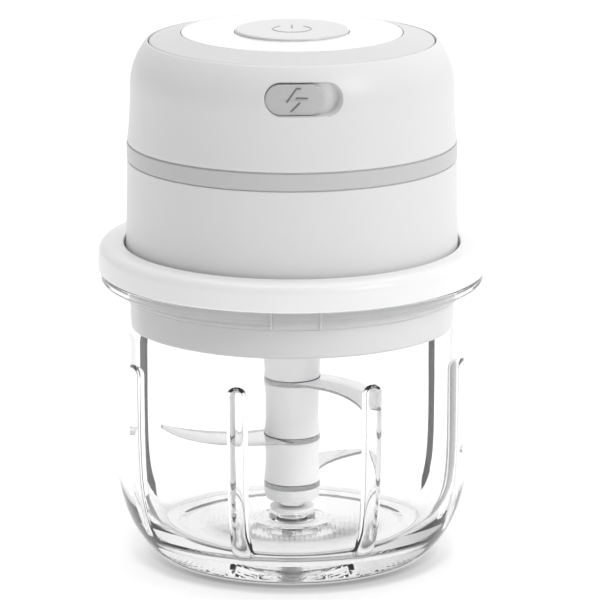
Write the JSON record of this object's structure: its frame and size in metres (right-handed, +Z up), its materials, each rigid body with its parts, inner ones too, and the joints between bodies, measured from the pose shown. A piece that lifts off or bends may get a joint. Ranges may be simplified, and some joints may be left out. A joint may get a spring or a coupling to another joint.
{
  "type": "mini food chopper",
  "caption": "Small cordless food processor: clear ribbed bowl, stacked sickle blades on a spindle, lid, and a round motor unit with a top button and charging port.",
  "frame": {"origin": "on the vertical axis, at the underside of the bowl's foot ring", "axes": "+Z up along the spindle and motor axis, -Y towards the charging port, +X to the right seen from the port's side"},
  "size_m": [0.086, 0.086, 0.1177],
  "materials": {
    "clear_bowl": "clear, glossy",
    "polished_steel": "finely brushed",
    "white_satin": "satin",
    "white_gloss": "gloss",
    "grey_trim": "satin silver grey",
    "grey_rubber": "soft matt silicone",
    "bearing_bronze": "plain",
    "dark_steel": "dark zinc",
    "armature_copper": "wound copper on laminations",
    "black_plastic": "moulded",
    "board_green": "lacquered",
    "cell_wrap": "film wrapped"
  },
  "bodies": {
    "bowl_base": {"bowl": "clear_bowl", "spindle_pin": "polished_steel"},
    "blade_seat": {"thrust_washer": "white_gloss"},
    "blade_unit": {"hub_core": "white_satin", "hub_spacer_1": "white_satin", "hub_spacer_2": "white_satin", "hub_foot": "white_satin", "hub_bush": "bearing_bronze", "blade_1": "polished_steel", "blade_2": "polished_steel", "blade_3": "polished_steel"},
    "lid": {"lid": "white_satin", "lid_seal": "grey_rubber", "lid_bush": "white_gloss"},
    "power_unit": {"lower_housing": "white_satin", "upper_housing": "white_satin", "accent_band": "grey_trim", "trim_ring": "grey_trim", "top_plate": "white_gloss", "base_plate": "white_satin", "output_bearing": "bearing_bronze", "motor_can": "dark_steel", "motor_end_cap": "black_plastic", "motor_magnet": "dark_steel", "motor_bracket": "polished_steel", "battery_cell": "cell_wrap", "battery_seat": "black_plastic", "battery_clip": "black_plastic", "circuit_board": "board_green", "charging_socket": "polished_steel", "start_switch": "black_plastic", "safety_switch": "black_plastic", "button_spring": "polished_steel", "base_screw_1": "dark_steel", "base_screw_2": "dark_steel", "base_screw_3": "dark_steel", "bracket_screw_1": "dark_steel", "bracket_screw_2": "dark_steel", "bracket_screw_3": "dark_steel", "board_screw_1": "dark_steel", "board_screw_2": "dark_steel", "board_screw_3": "dark_steel", "motor_screw_1": "dark_steel", "motor_screw_2": "dark_steel"},
    "rotor": {"motor_shaft": "polished_steel", "armature": "armature_copper", "commutator": "armature_copper", "drive_coupling": "white_gloss"},
    "power_button": {"power_button": "white_gloss"},
    "switch_plunger": {"switch_plunger": "black_plastic"},
    "safety_plunger": {"safety_plunger": "grey_rubber"},
    "port_cover": {"port_cover": "grey_rubber"}
  },
  "joints": [
    {"name": "blade_lift", "type": "slide", "parent": "bowl_base", "child": "blade_seat", "axis": [0, 0, 1], "range_m": [0, 0.06]},
    {"name": "blade_spin", "type": "hinge", "parent": "blade_seat", "child": "blade_unit", "pos_m": [0, 0, 0.03], "axis": [0, 0, 1], "continuous": true},
    {"name": "lid_lift", "type": "slide", "parent": "blade_seat", "child": "lid", "axis": [0, 0, 1], "range_m": [0, 0.03]},
    {"name": "power_unit_lift", "type": "slide", "parent": "lid", "child": "power_unit", "axis": [0, 0, 1], "range_m": [0, 0.03]},
    {"name": "rotor_spin", "type": "hinge", "parent": "power_unit", "child": "rotor", "pos_m": [0, 0, 0.08], "axis": [0, 0, 1], "continuous": true},
    {"name": "button_press", "type": "slide", "parent": "power_unit", "child": "power_button", "axis": [0, 0, -1], "range_m": [0, 0.001], "stiffness_N_per_m": 500, "springref_m": -0.001, "deforming": ["button_spring"]},
    {"name": "switch_press", "type": "slide", "parent": "power_unit", "child": "switch_plunger", "axis": [0, 0, -1], "range_m": [0, 0.001]},
    {"name": "safety_press", "type": "slide", "parent": "power_unit", "child": "safety_plunger", "axis": [0, 0, 1], "range_m": [0, 0.001], "stiffness_N_per_m": 200, "springref_m": -0.001},
    {"name": "port_cover_open", "type": "hinge", "parent": "power_unit", "child": "port_cover", "pos_m": [-0.0045, -0.03474, 0.1083], "axis": [0, 0, -1], "range_deg": [0, 100]}
  ],
  "couplings": [
    {"joint": "blade_spin", "follows": "rotor_spin", "ratio": 1},
    {"joint": "switch_press", "follows": "button_press", "ratio": 1}
  ]
}
